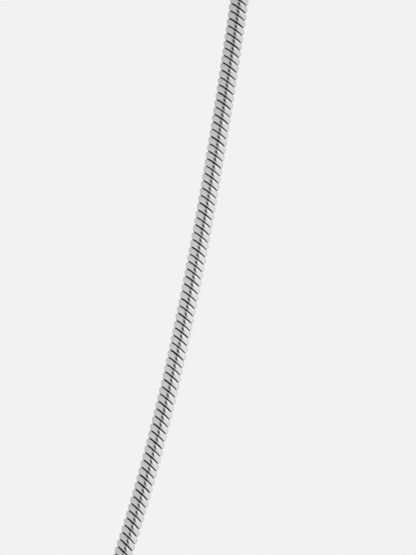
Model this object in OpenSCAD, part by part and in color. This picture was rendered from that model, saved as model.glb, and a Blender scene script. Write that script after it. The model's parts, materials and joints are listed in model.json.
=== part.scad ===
// Round snake chain necklace, held in the form that it takes round a neck.
// Millimetres. +Z is up, -Y is the front, and the origin is at the nape, where
// the clasp rests against the back of the neck.
//
// The loop is drawn first on a flat sheet, as x across and v up from the lowest
// point: a catenary below, an arc round the back of the neck above, and a short
// straight through the clasp. The sheet is then bent back over the collar bones.

/* [Chain] */
// Outside diameter of the chain
chain_d = 2.4; // [2:0.1:3]
// Number of sides of the chain's envelope
envelope_sides = 8; // [8:1:12]
// Number of the envelope's rings on each side of the lowest one
side_rings = 39; // [36:1:39]

/* [Necklace] */
// Length of the closed loop, through the chain and the clasp
loop_l = 550; // [500:10:600]
// Radius of the hanging curve at its lowest point
drop_r = 18.1; // [16:0.1:20]
// Height above the lowest point where the loop starts to lean back
lean_start = 115; // [100:1:125]
// Radius of the bend over the collar bones
lean_r = 25; // [15:1:35]
// Angle between the neck part of the loop and upright
lean_angle = 70; // [50:1:75]

/* [Clasp] */
// Diameter of the barrel clasp
clasp_d = 5; // [4.5:0.1:6]
// Length of the barrel clasp
clasp_l = 16; // [14:0.5:20]
// Radius of the rounding at the barrel's ends
clasp_round = 0.8; // [0.4:0.1:0.8]
// Depth of the socket that takes each end of the chain
socket_depth = 4; // [3:0.5:6]
// Gap between the chain and its socket
socket_gap = 0.1; // [0.1:0.05:0.2]
// Width and depth of the seam round the middle of the barrel
seam = 0.3; // [0.2:0.1:0.4]

/* [Hidden] */

$fn = 64;
radian = 180 / PI;
search_steps = 30;
tiny = 0.01;

// The envelope's flats lie on the chain's outside diameter
envelope_r = chain_d / 2 / cos(180 / envelope_sides);
socket_r = envelope_r + socket_gap;

// The loop is straight for this far on each side of the clasp's middle
straight_half = clasp_l / 2 + 1;
// The chain stops this far from the clasp's middle
chain_stop = clasp_l / 2 - socket_depth + socket_gap;

function asinh(t) = ln(t + sqrt(t * t + 1));

// The catenary at length s from its lowest point: across, up, and its flare,
// which is the angle between it and upright
function drop_x(s) = drop_r * asinh(s / drop_r);
function drop_v(s) = sqrt(drop_r * drop_r + s * s) - drop_r;
function drop_flare(s) = atan(drop_r / s);

// The arc round the neck that carries on from a catenary of length s
function neck_r(s) = (drop_x(s) - straight_half) / cos(drop_flare(s));
function neck_l(s) = neck_r(s) * (90 + drop_flare(s)) / radian;
function half_loop(s) = s + neck_l(s) + straight_half;

// Length of catenary, found by halving, that gives the loop its whole length
function find_drop(low, high, steps) =
    let (middle = (low + high) / 2)
    steps == 0 ? middle
    : half_loop(middle) < loop_l / 2 ? find_drop(middle, high, steps - 1)
    : find_drop(low, middle, steps - 1);

drop_l = find_drop(drop_r, loop_l / 2, search_steps);
flare = drop_flare(drop_l);
arc_r = neck_r(drop_l);
arc_l = neck_l(drop_l);
arc_v = drop_v(drop_l) + arc_r * sin(flare);
top_v = arc_v + arc_r;

// A point on the flat sheet, by its signed length from the lowest point
function on_sheet(s) =
    let (t = abs(s), turn = (t - drop_l) / arc_r * radian - flare)
    t <= drop_l ? [sign(s) * drop_x(t), drop_v(t)]
    : t <= drop_l + arc_l
    ? [sign(s) * (straight_half + arc_r * cos(turn)), arc_v + arc_r * sin(turn)]
    : [sign(s) * (loop_l / 2 - t), top_v];

// How far the sheet leans back from upright at height v
function lean(v) = min(max(v - lean_start, 0) / lean_r * radian, lean_angle);
lean_end = lean_start + lean_r * lean_angle / radian;

// Height v of the sheet, bent back: depth and height from the lowest point
function bent(v) =
    let (past = max(v - lean_end, 0))
    [
        lean_r * (1 - cos(lean(v))) + past * sin(lean_angle),
        min(v, lean_start) + lean_r * sin(lean(v)) + past * cos(lean_angle)
    ];
nape = bent(top_v);

// The chain's centre line in space, by its signed length from the lowest point
function route(s) =
    let (p = on_sheet(s), b = bent(p[1]))
    [p[0], b[0] - nape[0] + clasp_d / 2, b[1] - nape[1]];

// Directions along the chain, out of the sheet to the front, and across both
function unit(p) = p / norm(p);
function along(s) = unit(route(s + tiny) - route(s - tiny));
function outward(s) =
    let (angle = lean(on_sheet(s)[1]))
    [0, -cos(angle), sin(angle)];
function across(s) = cross(along(s), outward(s));

chain_half = loop_l / 2 - chain_stop;
ring_count = 2 * side_rings + 1;

// Rings lie closer together round the lowest point, where the chain turns most
low_rings = 6;
low_step = 5.2;
side_step = (chain_half - low_rings * low_step) / (side_rings - low_rings);
function ring_place(i) =
    let (low = min(abs(i), low_rings))
    sign(i) * (low * low_step + (abs(i) - low) * side_step);

function ring(s) =
    [for (k = [0:envelope_sides - 1])
        let (angle = 360 * (k + 0.5) / envelope_sides)
        route(s) + envelope_r * (cos(angle) * across(s) + sin(angle) * outward(s))];

// The chain's outer envelope, from one socket of the clasp round to the other
module chain() {
    points = [for (i = [-side_rings:side_rings]) each ring(ring_place(i))];
    walls = [for (i = [0:ring_count - 2], k = [0:envelope_sides - 1])
        let (
            a = i * envelope_sides + k,
            b = i * envelope_sides + (k + 1) % envelope_sides
        )
        each [
            [a, b, a + envelope_sides],
            [b, b + envelope_sides, a + envelope_sides]
        ]];
    first_end = [for (k = [envelope_sides - 1:-1:0]) k];
    last_end = [for (k = [0:envelope_sides - 1]) (ring_count - 1) * envelope_sides + k];
    color("silver") polyhedron(points, concat(walls, [first_end, last_end]));
}

// Half of the barrel's section: the wall with a rounded corner at each end and
// the seam round its middle
module barrel_section() {
    r = clasp_d / 2;
    h = clasp_l / 2;
    difference() {
        union() {
            translate([0, clasp_round - h]) square([r, 2 * (h - clasp_round)]);
            translate([0, -h]) square([r - clasp_round, 2 * h]);
            for (side = [-1, 1])
                translate([r - clasp_round, side * (h - clasp_round)])
                    circle(clasp_round);
        }
        translate([r, 0]) rotate(45) square(seam, center = true);
    }
}

// Plain barrel clasp at the nape, with a socket for each end of the chain
module clasp() {
    color("gainsboro") translate([0, clasp_d / 2, 0]) difference() {
        rotate([0, 90, 0]) rotate_extrude() barrel_section();
        for (side = [-1, 1])
            translate([side * (clasp_l / 2 - socket_depth), 0, 0])
                rotate([0, side * 90, 0])
                    cylinder(r = socket_r, h = socket_depth + 1);
    }
}

chain();
clasp();
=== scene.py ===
"""Looks of a round snake chain necklace: its links one by one, its clasp, a studio and the camera."""
import json
import math

import bpy
import numpy as np
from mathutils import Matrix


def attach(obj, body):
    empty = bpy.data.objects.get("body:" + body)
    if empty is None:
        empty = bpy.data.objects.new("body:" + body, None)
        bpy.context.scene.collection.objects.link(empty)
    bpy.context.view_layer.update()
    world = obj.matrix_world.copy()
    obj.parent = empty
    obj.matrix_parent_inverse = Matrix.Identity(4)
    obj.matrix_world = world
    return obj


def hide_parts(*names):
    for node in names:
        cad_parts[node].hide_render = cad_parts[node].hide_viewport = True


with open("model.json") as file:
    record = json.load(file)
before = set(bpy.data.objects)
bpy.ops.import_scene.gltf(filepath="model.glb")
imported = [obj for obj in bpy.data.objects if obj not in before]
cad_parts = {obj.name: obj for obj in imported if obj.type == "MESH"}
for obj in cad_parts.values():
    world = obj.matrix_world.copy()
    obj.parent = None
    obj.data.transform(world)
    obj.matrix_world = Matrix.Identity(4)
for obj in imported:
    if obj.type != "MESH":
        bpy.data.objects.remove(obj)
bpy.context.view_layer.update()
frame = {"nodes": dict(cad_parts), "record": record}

MM = 0.001

# The loop in millimetres and degrees, by the same sizes and formulas as the solids
CHAIN_D = 2.4
LOOP_L = 550
DROP_R = 18.1
LEAN_START = 115
LEAN_R = 25
LEAN_ANGLE = math.radians(70)
CLASP_D = 5
CLASP_L = 16
SOCKET_DEPTH = 4
SOCKET_GAP = 0.1
SEARCH_STEPS = 50
STRAIGHT_HALF = CLASP_L / 2 + 1
CHAIN_HALF = LOOP_L / 2 - (CLASP_L / 2 - SOCKET_DEPTH + SOCKET_GAP)

# The row of links, in millimetres. They lie a little closer or wider in turn along the chain
LINKS = 561
PITCH = 0.9623
FIRST_LINK = 1.307 - CHAIN_HALF
PLAY = 0.189
PLAY_L = 84
PLAY_WIDE = 89
PIECES = 4

# One link, in millimetres. It is a closed band round the chain, in a plane that falls to the
# right and rises a little to the front, and its neck hooks behind the flange of the next one.
# Its crown drops faster towards its lower edge, and further at its upper one
GAP = 0.12
FALL = 0.501
RISE = 0.161
UPPER_DROP, LOWER_DROP = 0.264, 0.185
UPPER_POWER, LOWER_POWER = 3.85, 2.21
CROWN_STEPS = 10
SIDES = 32
FLANGE = 0.1
FLANGE_R = 0.85
NECK_R = 0.79
LIP_R = 0.92
WALL_R = 0.99
BORE_R = 0.68
HOOK_GAP = 0.12

# How much one link differs from the next, in its tilts and in its place in millimetres
TILT_SPREAD = 0.006
PLACE_SPREAD = 0.006
SEED = 7

# Each piece's picture holds one cell for each link, with the crown in the larger part of it. Its
# second map sets the links this many rounds of the chain apart
CELLS_ACROSS, CELLS_UP = 8, 18
CROWN_SHARE = 0.6
CELL_FILL = 0.94
ROUNDS_APART = 2

# The photograph, in its own pixels
PHOTO_W, PHOTO_H = 416, 555
LOWEST_X_PX, LOWEST_Y_PX = -135.5, 863.8
DROP_R_PX = 141.5
MM_PER_PX = DROP_R / DROP_R_PX

# The camera's lens and sensor, in millimetres, and how near and far it sees, in metres
LENS = 700
SENSOR = 36
CLIP_START, CLIP_END = 0.01, 10


def find_drop():
    """The length of catenary on each side that gives the loop its whole length, by halving."""
    low, high = DROP_R, LOOP_L / 2
    for _ in range(SEARCH_STEPS):
        middle = (low + high) / 2
        flare = math.atan(DROP_R / middle)
        neck_r = (DROP_R * math.asinh(middle / DROP_R) - STRAIGHT_HALF) / math.cos(flare)
        if middle + neck_r * (math.pi / 2 + flare) + STRAIGHT_HALF < LOOP_L / 2:
            low = middle
        else:
            high = middle
    return middle, flare, neck_r


DROP_L, FLARE, NECK_ARC_R = find_drop()
NECK_ARC_L = NECK_ARC_R * (math.pi / 2 + FLARE)
ARC_V = math.hypot(DROP_R, DROP_L) - DROP_R + NECK_ARC_R * math.sin(FLARE)
TOP_V = ARC_V + NECK_ARC_R
LEAN_END = LEAN_START + LEAN_R * LEAN_ANGLE


def on_sheet(s):
    """Points across and up on the flat sheet, by their lengths along the chain from its lowest point."""
    t = np.abs(s)
    turn = (t - DROP_L) / NECK_ARC_R - FLARE
    x = np.where(t <= DROP_L, DROP_R * np.arcsinh(t / DROP_R), STRAIGHT_HALF + NECK_ARC_R * np.cos(turn))
    v = np.where(t <= DROP_L, np.hypot(DROP_R, t) - DROP_R, ARC_V + NECK_ARC_R * np.sin(turn))
    straight = t > DROP_L + NECK_ARC_L
    x = np.where(straight, LOOP_L / 2 - t, x)
    v = np.where(straight, TOP_V, v)
    return np.sign(s) * x, v


def lean(v):
    """How far the sheet leans back from upright at height v."""
    return np.clip((v - LEAN_START) / LEAN_R, 0, LEAN_ANGLE)


def bent(v):
    """Depth and height of the bent sheet at height v, from its lowest point."""
    past = np.maximum(v - LEAN_END, 0)
    depth = LEAN_R * (1 - np.cos(lean(v))) + past * math.sin(LEAN_ANGLE)
    height = np.minimum(v, LEAN_START) + LEAN_R * np.sin(lean(v)) + past * math.cos(LEAN_ANGLE)
    return depth, height


def route(s):
    """Points of the chain's centre line, in millimetres in the row frame."""
    x, v = on_sheet(s)
    depth, height = bent(v)
    nape_depth, nape_height = bent(np.array(TOP_V))
    return np.stack([x, depth - nape_depth + CLASP_D / 2, height - nape_height], axis=-1)


def directions(s):
    """Unit vectors across, out of and along the chain at each length."""
    step = 0.01
    along = route(s + step) - route(s - step)
    along /= np.linalg.norm(along, axis=-1, keepdims=True)
    angle = lean(on_sheet(s)[1])
    outward = np.stack([np.zeros_like(angle), -np.cos(angle), np.sin(angle)], axis=-1)
    return np.cross(along, outward), outward, along


def link_places():
    """Where each link sits along the chain, by its length from the lowest point."""
    even = FIRST_LINK + PITCH * np.arange(LINKS)
    wide = (np.cos(2 * math.pi * (even - PLAY_WIDE) / PLAY_L) - 1) / 2
    return even + PLAY * wide + np.random.default_rng(SEED).normal(0, PLACE_SPREAD, LINKS)


def link_section():
    """A link's section: radius and height along the chain, once round, with the crown's points first."""
    half = (PITCH - GAP) / 2
    turn = np.linspace(-math.pi / 2, math.pi / 2, CROWN_STEPS + 1)
    height = half * np.sin(turn)
    drop = np.where(height > 0, UPPER_DROP, LOWER_DROP)
    power = np.where(height > 0, UPPER_POWER, LOWER_POWER)
    radius = CHAIN_D / 2 - drop * np.abs(height / half) ** power
    hook = half + GAP + FLANGE + HOOK_GAP
    inside = [
        (NECK_R, half),
        (NECK_R, hook),
        (LIP_R, hook),
        (LIP_R, hook + FLANGE),
        (BORE_R, hook + FLANGE),
        (BORE_R, half - FLANGE),
        (WALL_R, half - FLANGE),
        (WALL_R, FLANGE - half),
        (FLANGE_R, FLANGE - half),
        (FLANGE_R, -half),
    ]
    return np.concatenate([np.stack([radius, height], axis=-1), inside])


def link_points(places, section):
    """Every link's points, as link by side by row of the section."""
    across, outward, along = directions(places)
    tilts = np.random.default_rng(SEED + 1).normal((FALL, RISE), TILT_SPREAD, (len(places), 2))
    fall, rise = tilts.T[:, :, None, None]
    turn = 2 * math.pi * np.arange(SIDES) / SIDES
    x = section[None, :, 0] * np.sin(turn)[:, None]
    w = section[None, :, 0] * np.cos(turn)[:, None]
    h = section[None, :, 1] - fall * x + rise * w
    return (
        route(places)[:, None, None]
        + x[..., None] * across[:, None, None]
        + w[..., None] * outward[:, None, None]
        + h[..., None] * along[:, None, None]
    ) * MM


def link_maps(count, section):
    """Two flat maps of the links, a place in each for every corner of every face.

    The first gives each link a cell of its own. The second is in millimetres round the link
    and along its section, with the links far apart.
    """
    rows = len(section)
    steps = np.linalg.norm(np.diff(section, axis=0, append=section[:1]), axis=1)
    length = np.concatenate([[0], np.cumsum(steps)])
    share = np.interp(np.arange(rows + 1), (0, CROWN_STEPS, rows), (0, CROWN_SHARE, 1))
    side = np.arange(SIDES)[:, None, None] + np.array([0, 1, 1, 0])
    row = np.arange(rows)[None, :, None] + np.array([0, 0, 1, 1])
    side, row = np.broadcast_arrays(side, row)
    link = np.arange(count)[:, None, None, None]
    margin = (1 - CELL_FILL) / 2
    cell_u = (link % CELLS_ACROSS + margin + CELL_FILL * side / SIDES) / CELLS_ACROSS
    cell_v = (link // CELLS_ACROSS + margin + CELL_FILL * share[row]) / CELLS_UP
    band_u = math.pi * CHAIN_D * (side / SIDES + ROUNDS_APART * link)
    band_v = length[row] + 0 * link
    return np.stack([cell_u, cell_v], axis=-1), np.stack([band_u, band_v], axis=-1)


def link_mesh(name, places, section):
    """One mesh of the links at these lengths along the chain."""
    points = link_points(places, section)
    rows = len(section)
    side = np.arange(SIDES)[:, None]
    row = np.arange(rows)[None, :]
    next_side, next_row = (side + 1) % SIDES, (row + 1) % rows
    quad = np.stack(
        [
            side * rows + row,
            next_side * rows + row,
            next_side * rows + next_row,
            side * rows + next_row,
        ],
        axis=-1,
    ).reshape(-1, 4)
    corners = (quad[None] + (np.arange(len(places)) * SIDES * rows)[:, None, None]).reshape(-1)
    on_crown = np.tile((row + 0 * side < CROWN_STEPS).reshape(-1), len(places))
    mesh = bpy.data.meshes.new(name)
    mesh.vertices.add(points.size // 3)
    mesh.vertices.foreach_set("co", points.reshape(-1).astype(np.float32))
    mesh.loops.add(len(corners))
    mesh.loops.foreach_set("vertex_index", corners.astype(np.int32))
    mesh.polygons.add(len(corners) // 4)
    mesh.polygons.foreach_set("loop_start", np.arange(0, len(corners), 4, dtype=np.int32))
    mesh.polygons.foreach_set("use_smooth", on_crown)
    mesh.polygons.foreach_set("material_index", np.where(on_crown, 0, 1).astype(np.int32))
    mesh.update(calc_edges=True)
    for map_name, flat in zip(("OFBake", "band"), link_maps(len(places), section)):
        layer = mesh.uv_layers.new(name=map_name)
        layer.data.foreach_set("uv", flat.reshape(-1).astype(np.float32))
    return mesh


class Nodes:
    """A node tree, with short ways to add nodes to it and join them."""

    def __init__(self, tree):
        self.tree = tree

    def node(self, kind, **values):
        """A new node with these settings."""
        made = self.tree.nodes.new(kind)
        for key, value in values.items():
            setattr(made, key, value)
        return made

    def put(self, socket, value):
        """Gives a socket a number, or joins another node's socket to it."""
        if isinstance(value, bpy.types.NodeSocket):
            self.tree.links.new(value, socket)
        else:
            socket.default_value = value

    def maths(self, operation, *inputs):
        made = self.node("ShaderNodeMath", operation=operation)
        for socket, value in zip(made.inputs, inputs):
            self.put(socket, value)
        return made.outputs[0]

    def along(self, direction, axis):
        """How far a direction goes along an axis."""
        made = self.node("ShaderNodeVectorMath", operation="DOT_PRODUCT")
        self.put(made.inputs[0], direction)
        self.put(made.inputs[1], axis)
        return made.outputs["Value"]

    def ramp(self, value, low, high, to_low=0, to_high=1):
        """to_low below low and to_high above high, and smooth between them."""
        made = self.node("ShaderNodeMapRange", interpolation_type="SMOOTHSTEP")
        inputs = {"Value": value, "From Min": low, "From Max": high, "To Min": to_low, "To Max": to_high}
        for key, number in inputs.items():
            self.put(made.inputs[key], number)
        return made.outputs["Result"]

    def scaled(self, vector, scale):
        """A vector times a number for each axis."""
        made = self.node("ShaderNodeVectorMath", operation="MULTIPLY")
        self.put(made.inputs[0], vector)
        self.put(made.inputs[1], scale)
        return made.outputs["Vector"]

    def noise(self, vector, scale, detail=2):
        """Noise from 0 to 1 that changes this many times a metre, or in a map's unit."""
        made = self.node("ShaderNodeTexNoise")
        self.put(made.inputs["Vector"], vector)
        self.put(made.inputs["Scale"], scale)
        self.put(made.inputs["Detail"], detail)
        return made.outputs["Fac"]

    def bump(self, height, distance):
        """The surface's direction where a height, from 0 to 1, is this many metres deep."""
        made = self.node("ShaderNodeBump")
        self.put(made.inputs["Height"], height)
        self.put(made.inputs["Distance"], distance)
        return made.outputs["Normal"]


def metal(name):
    """A new metal, its nodes, and its shader."""
    material = bpy.data.materials.new(name)
    material.use_nodes = True
    shader = material.node_tree.nodes["Principled BSDF"]
    shader.inputs["Metallic"].default_value = 1
    return material, Nodes(material.node_tree), shader.inputs


# Parts of a noise's range that the clouds and the finer marks use, and the marks' detail
CLOUD_RANGE = (0.3, 0.7)
MARK_RANGE = (0.35, 0.65)
MARK_DETAIL = 3

# Polished steel of the bands. Tones are shares of the light that comes back
STEEL_TONE = 0.86
STEEL_ROUGHNESS = 0.087
LINK_TONE_SPREAD = 0.012
CLOUD_SPREAD = 0.015
CLOUDS_PER_M = 22
# Painted light: the steel's colour is brightest at this height and darker above and below it, a cosine
# over this length, standing in for the tent's light falling off away from its middle
PAINTED_LIGHT_SPREAD = 0.11
PAINTED_LIGHT_L_M = 0.118
PAINTED_LIGHT_BRIGHT_Z = -0.097
STREAKS_PER_MM = (0.35, 7, 1)
STREAK_ROUGHNESS = 0.03
STREAK_DEPTH_M = 3e-7
SMEARS_PER_MM = (0.5, 0.8, 1)
SMEAR_ROUGHNESS = 0.03

# Steel between the bands, coloured near black as painted shade for the light that hardly reaches there
RECESS_PAINTED_SHADE_TONE = 0.02
RECESS_PAINTED_SHADE_SPREAD = 0.008
RECESS_ROUGHNESS = 0.5
RECESS_ROUGHNESS_SPREAD = 0.1
RECESS_GRAINS_PER_MM = 3


def polished_steel():
    """Polished steel, a little uneven from link to link, with faint marks along each band, and painted
    light that makes it brighter at one height and darker above and below.
    """
    material, nodes, inputs = metal("polished_steel")
    link = nodes.node("ShaderNodeNewGeometry").outputs["Random Per Island"]
    place = nodes.node("ShaderNodeTexCoord").outputs["Object"]
    band = nodes.node("ShaderNodeUVMap", uv_map="band").outputs["UV"]
    tone = nodes.ramp(link, 0, 1, STEEL_TONE - LINK_TONE_SPREAD, STEEL_TONE + LINK_TONE_SPREAD)
    cloud = nodes.ramp(nodes.noise(place, CLOUDS_PER_M), *CLOUD_RANGE, -CLOUD_SPREAD, CLOUD_SPREAD)
    # Painted light: the base colour is brighter at one height and darker above and below it
    turn = 2 * math.pi / PAINTED_LIGHT_L_M
    painted_light_phase = nodes.maths("MULTIPLY_ADD", nodes.along(place, (0, 0, 1)), turn, -turn * PAINTED_LIGHT_BRIGHT_Z)
    tone_and_painted_light = nodes.maths("MULTIPLY_ADD", nodes.maths("COSINE", painted_light_phase), PAINTED_LIGHT_SPREAD, tone)
    nodes.put(inputs["Base Color"], nodes.maths("ADD", tone_and_painted_light, cloud))
    streaks = nodes.noise(nodes.scaled(band, STREAKS_PER_MM), 1, MARK_DETAIL)
    smears = nodes.noise(nodes.scaled(band, SMEARS_PER_MM), 1)
    low = STEEL_ROUGHNESS - SMEAR_ROUGHNESS / 2
    rough = nodes.ramp(smears, *MARK_RANGE, low, low + SMEAR_ROUGHNESS)
    streaked = nodes.ramp(streaks, *MARK_RANGE, -STREAK_ROUGHNESS / 2, STREAK_ROUGHNESS / 2)
    nodes.put(inputs["Roughness"], nodes.maths("ADD", rough, streaked))
    nodes.put(inputs["Normal"], nodes.bump(streaks, STREAK_DEPTH_M))
    return material


def recess_painted_shade_steel():
    """Unpolished steel for what lies between the bands, its near-black colour painted shade."""
    material, nodes, inputs = metal("recess_painted_shade_steel")
    band = nodes.node("ShaderNodeUVMap", uv_map="band").outputs["UV"]
    grain = nodes.noise(band, RECESS_GRAINS_PER_MM)
    # Painted shade: a near-black colour that stands in for the shade between the bands
    tone = nodes.ramp(grain, *CLOUD_RANGE, RECESS_PAINTED_SHADE_TONE - RECESS_PAINTED_SHADE_SPREAD, RECESS_PAINTED_SHADE_TONE + RECESS_PAINTED_SHADE_SPREAD)
    smooth = RECESS_ROUGHNESS - RECESS_ROUGHNESS_SPREAD
    rough = RECESS_ROUGHNESS + RECESS_ROUGHNESS_SPREAD
    nodes.put(inputs["Base Color"], tone)
    nodes.put(inputs["Roughness"], nodes.ramp(grain, *CLOUD_RANGE, smooth, rough))
    return material


def chain():
    """The links, from one socket of the clasp round to the other."""
    materials = polished_steel(), recess_painted_shade_steel()
    section = link_section()
    for i, places in enumerate(np.array_split(link_places(), PIECES)):
        name = f"chain_links_{i + 1}"
        piece = bpy.data.objects.new(name, link_mesh(name, places, section))
        bpy.context.scene.collection.objects.link(piece)
        for material in materials:
            piece.data.materials.append(material)
        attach(piece, "root")
        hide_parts("chain")


# The clasp's steel, which is turned. Sizes are in metres
CLASP_TONE = 0.84
CLASP_ROUGHNESS = 0.13
# Painted shade: the seam round the middle is coloured dark for the shade in its groove, over this half
# width, and fully dark over this share of it
SEAM_PAINTED_SHADE_TONE = 0.12
SEAM_HALF = 0.00022
SEAM_PAINTED_SHADE_SHARE = 0.6
TURNED_PER_M = (9000, 120, 120)
TURNED_ROUGHNESS = 0.06
TURNED_DEPTH_M = 4e-7
CLASP_CLOUDS_PER_M = 300
CLASP_CLOUD_LOW = 0.95


def clasp_steel():
    """Turned and polished steel, with painted shade in a dark band along the seam groove round the
    middle.
    """
    material, nodes, inputs = metal("clasp_steel")
    place = nodes.node("ShaderNodeTexCoord").outputs["Object"]
    from_middle = nodes.maths("ABSOLUTE", nodes.along(place, (1, 0, 0)))
    turned = nodes.noise(nodes.scaled(place, TURNED_PER_M), 1, MARK_DETAIL)
    cloud = nodes.ramp(nodes.noise(place, CLASP_CLOUDS_PER_M), *CLOUD_RANGE, CLASP_CLOUD_LOW, 1)
    # Painted shade: dark colour along the seam groove
    tone = nodes.ramp(from_middle, SEAM_HALF * SEAM_PAINTED_SHADE_SHARE, SEAM_HALF, SEAM_PAINTED_SHADE_TONE, CLASP_TONE)
    nodes.put(inputs["Base Color"], nodes.maths("MULTIPLY", tone, cloud))
    rough = nodes.ramp(turned, *MARK_RANGE, CLASP_ROUGHNESS, CLASP_ROUGHNESS + TURNED_ROUGHNESS)
    nodes.put(inputs["Roughness"], rough)
    nodes.put(inputs["Normal"], nodes.bump(turned, TURNED_DEPTH_M))
    return material


def clasp(node):
    """The barrel clasp keeps its solid and gets its steel."""
    steel = clasp_steel()
    if not node.material_slots:
        node.data.materials.append(None)
    for slot in node.material_slots:
        slot.material = steel


def camera(record):
    """A long lens, level and square to the front strand, at the photograph's framing."""
    lowest = next(m["pos_m"] for m in record["mounts"] if m["name"] == "pendant")
    data = bpy.data.cameras.new("camera")
    data.lens, data.sensor_width = LENS, SENSOR
    distance = PHOTO_H * MM_PER_PX * LENS / SENSOR * MM
    place = bpy.data.objects.new("camera", data)
    place.location = (
        lowest[0] + (PHOTO_W / 2 - LOWEST_X_PX) * MM_PER_PX * MM,
        lowest[1] - distance,
        lowest[2] + (LOWEST_Y_PX - PHOTO_H / 2) * MM_PER_PX * MM,
    )
    place.rotation_euler = (math.pi / 2, 0, 0)
    data.clip_start, data.clip_end = CLIP_START, CLIP_END
    bpy.context.scene.collection.objects.link(place)
    bpy.context.scene.camera = place


# The light tent's levels by side: low and high, and behind
BACKGROUND = 0.888
LEFT_LOW, LEFT_HIGH = 0.645, 0.559
RIGHT_LOW, RIGHT_HIGH = 0.768, 0.857
LEFT_BACK, RIGHT_BACK = 0.559, 0.806

# Where the left gives way to the right, the sides to the back, and low to high, as shares of a
# direction that point right, back and up
RIGHT_RANGE = (-0.1, 0.25)
BACK_RANGE = (0.3, 1)
HEIGHT_RANGE = (-0.9, 0.9)

# Its dark slot, where the camera looks in, and its light. Azimuth from the front towards the
# right, elevation, half width, half height and lean are in degrees, and the edge is a share
SLOT = {"azimuth": -3, "elevation": -11.8, "width": 18.7, "height": 43.9, "lean": 39, "edge": 0.87}
SLOT_DEPTH = 0.98
SOFTBOX = {"azimuth": 10.2, "elevation": -0.2, "width": 30, "height": 17.4, "lean": -18, "edge": 0.5}
SOFTBOX_LEVEL = 0.63
TOP_SLOT = {"azimuth": 66.6, "elevation": 56.6, "width": 27.7, "height": 20, "lean": 0, "edge": 0.5}
TOP_SLOT_DEPTH = 0.95
BACK_SLOT = {"azimuth": 176, "elevation": -8, "width": 15, "height": 60, "lean": -30, "edge": 0.9}
BACK_SLOT_DEPTH = 0.9

# Least share of a direction towards a panel, which keeps each panel on its own side of the tent
LEAST_FORWARD = 0.01


def panel(nodes, direction, azimuth, elevation, width, height, lean, edge):
    """1 inside a rounded panel of the tent and 0 outside it, with a soft edge."""
    az, el, roll = (math.radians(v) for v in (azimuth, elevation, lean))
    centre = np.array([math.sin(az) * math.cos(el), -math.cos(az) * math.cos(el), math.sin(el)])
    right = np.array([math.cos(az), math.sin(az), 0])
    up = np.cross(centre, right)
    side = math.cos(roll) * right - math.sin(roll) * up
    top = math.sin(roll) * right + math.cos(roll) * up
    forward = nodes.maths("MAXIMUM", nodes.along(direction, centre), LEAST_FORWARD)
    x = nodes.maths("DIVIDE", nodes.along(direction, side / math.tan(math.radians(width))), forward)
    y = nodes.maths("DIVIDE", nodes.along(direction, top / math.tan(math.radians(height))), forward)
    squares = nodes.maths("ADD", nodes.maths("MULTIPLY", x, x), nodes.maths("MULTIPLY", y, y))
    reach = nodes.maths("SQRT", squares)
    return nodes.ramp(reach, 1 + edge, 1 - edge)


def tent_level(nodes, direction):
    """How bright the tent is in each direction."""
    rightward = nodes.ramp(nodes.along(direction, (1, 0, 0)), *RIGHT_RANGE)
    backward = nodes.ramp(nodes.along(direction, (0, 1, 0)), *BACK_RANGE)
    height = nodes.along(direction, (0, 0, 1))
    left = nodes.ramp(height, *HEIGHT_RANGE, LEFT_LOW, LEFT_HIGH)
    left = nodes.maths("MULTIPLY_ADD", backward, nodes.maths("SUBTRACT", LEFT_BACK, left), left)
    right = nodes.ramp(height, *HEIGHT_RANGE, RIGHT_LOW, RIGHT_HIGH)
    right = nodes.maths("MULTIPLY_ADD", backward, nodes.maths("SUBTRACT", RIGHT_BACK, right), right)
    level = nodes.maths("MULTIPLY_ADD", rightward, nodes.maths("SUBTRACT", right, left), left)
    softbox = panel(nodes, direction, **SOFTBOX)
    level = nodes.maths("MULTIPLY_ADD", softbox, SOFTBOX_LEVEL, level)
    for slot, depth in ((SLOT, SLOT_DEPTH), (TOP_SLOT, TOP_SLOT_DEPTH), (BACK_SLOT, BACK_SLOT_DEPTH)):
        shade = nodes.maths("MULTIPLY_ADD", panel(nodes, direction, **slot), -depth, 1)
        level = nodes.maths("MULTIPLY", level, shade)
    return level


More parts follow.
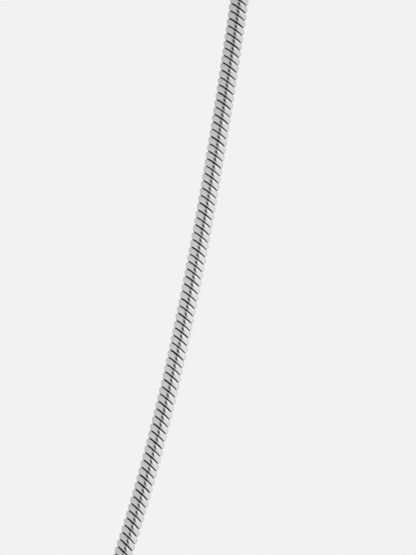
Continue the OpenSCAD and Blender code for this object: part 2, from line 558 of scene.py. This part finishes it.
def studio():
    """A light tent round the necklace, which the camera sees as a plain backdrop."""
    scene = bpy.context.scene
    scene.view_settings.view_transform = "Standard"
    world = bpy.data.worlds.new("tent")
    scene.world = world
    world.use_nodes = True
    world.node_tree.nodes.clear()
    nodes = Nodes(world.node_tree)
    walls = nodes.node("ShaderNodeBackground")
    direction = nodes.node("ShaderNodeTexCoord").outputs["Generated"]
    nodes.put(walls.inputs["Color"], tent_level(nodes, direction))
    backdrop = nodes.node("ShaderNodeBackground")
    nodes.put(backdrop.inputs["Color"], (BACKGROUND, BACKGROUND, BACKGROUND, 1))
    mix = nodes.node("ShaderNodeMixShader")
    nodes.put(mix.inputs[0], nodes.node("ShaderNodeLightPath").outputs["Is Camera Ray"])
    nodes.put(mix.inputs[1], walls.outputs[0])
    nodes.put(mix.inputs[2], backdrop.outputs[0])
    nodes.put(nodes.node("ShaderNodeOutputWorld").inputs["Surface"], mix.outputs[0])


# The floor, in metres, and the soft light over it. The steel reflects the tent and not them
FLOOR_Z = -0.25
FLOOR_R = 2
FLOOR_SIDES = 128
FLOOR_TONE = 0.9
LAMP_LEVEL = 1.27
LAMP_SPREAD = math.radians(60)


def floor():
    """A plain pale floor under the necklace, below the camera's view."""
    mesh = bpy.data.meshes.new("floor")
    turn = np.linspace(0, 2 * math.pi, FLOOR_SIDES, endpoint=False)
    points = [(FLOOR_R * math.cos(a), FLOOR_R * math.sin(a), FLOOR_Z) for a in turn]
    mesh.from_pydata(points, [], [list(range(len(points)))])
    disc = bpy.data.objects.new("floor", mesh)
    disc.visible_glossy = False
    bpy.context.scene.collection.objects.link(disc)
    material = bpy.data.materials.new("floor")
    material.use_nodes = True
    shader = material.node_tree.nodes["Principled BSDF"]
    shader.inputs["Base Color"].default_value = (FLOOR_TONE, FLOOR_TONE, FLOOR_TONE, 1)
    shader.inputs["Roughness"].default_value = 1
    shader.inputs["Specular IOR Level"].default_value = 0
    mesh.materials.append(material)


def lamp():
    """A soft light over the floor."""
    data = bpy.data.lights.new("lamp", "SUN")
    data.energy = LAMP_LEVEL
    data.angle = LAMP_SPREAD
    place = bpy.data.objects.new("lamp", data)
    place.visible_glossy = False
    bpy.context.scene.collection.objects.link(place)


camera(frame["record"])
studio()
floor()
lamp()
chain()
clasp(frame["nodes"]["clasp"])
